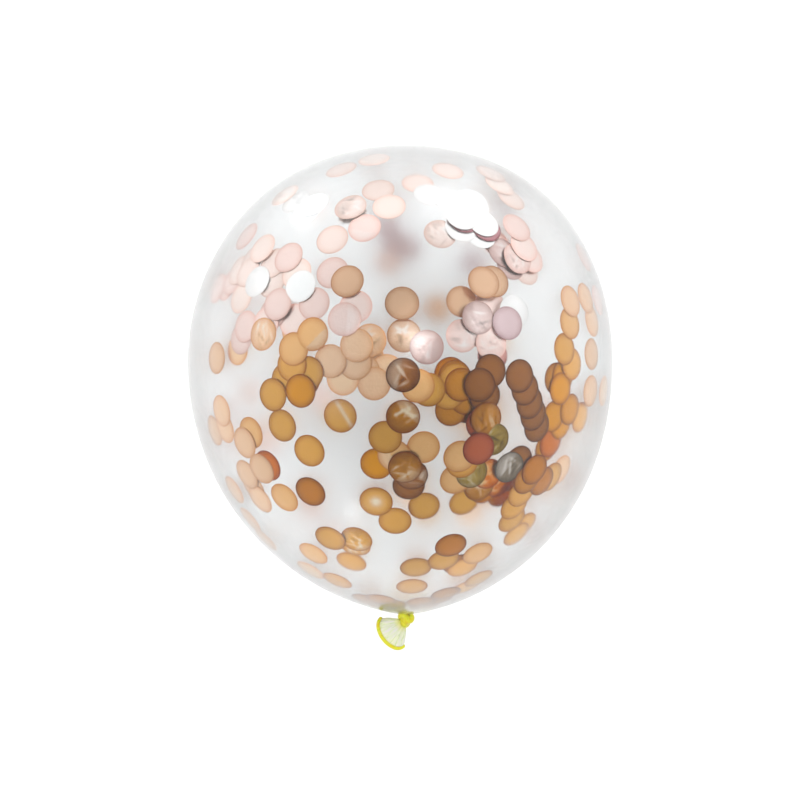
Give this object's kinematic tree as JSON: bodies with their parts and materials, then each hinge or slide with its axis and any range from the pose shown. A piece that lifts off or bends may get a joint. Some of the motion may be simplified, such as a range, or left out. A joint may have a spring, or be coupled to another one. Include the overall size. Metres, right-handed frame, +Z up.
{
  "type": "confetti balloon",
  "caption": "Clear latex party balloon, blown up and tied with an overhand knot and a rolled-lip tail, with round metallic foil confetti clinging inside.",
  "frame": {"origin": "on the floor under the belly, in the middle of the small flat that the balloon rests on", "axes": "+Z up; +Y along the balloon from the knot to the crown; +X to the right with the crown away from the viewer"},
  "size_m": [0.288, 0.343, 0.2867],
  "materials": {
    "latex": "clear, thin, glossy",
    "latex_gathered": "the same rubber unstretched, thick and yellow, glossy",
    "confetti_foil": "metallised film, shiny rose gold to gold"
  },
  "bodies": {
    "root": {"latex_balloon": "latex"}
  },
  "joints": []
}
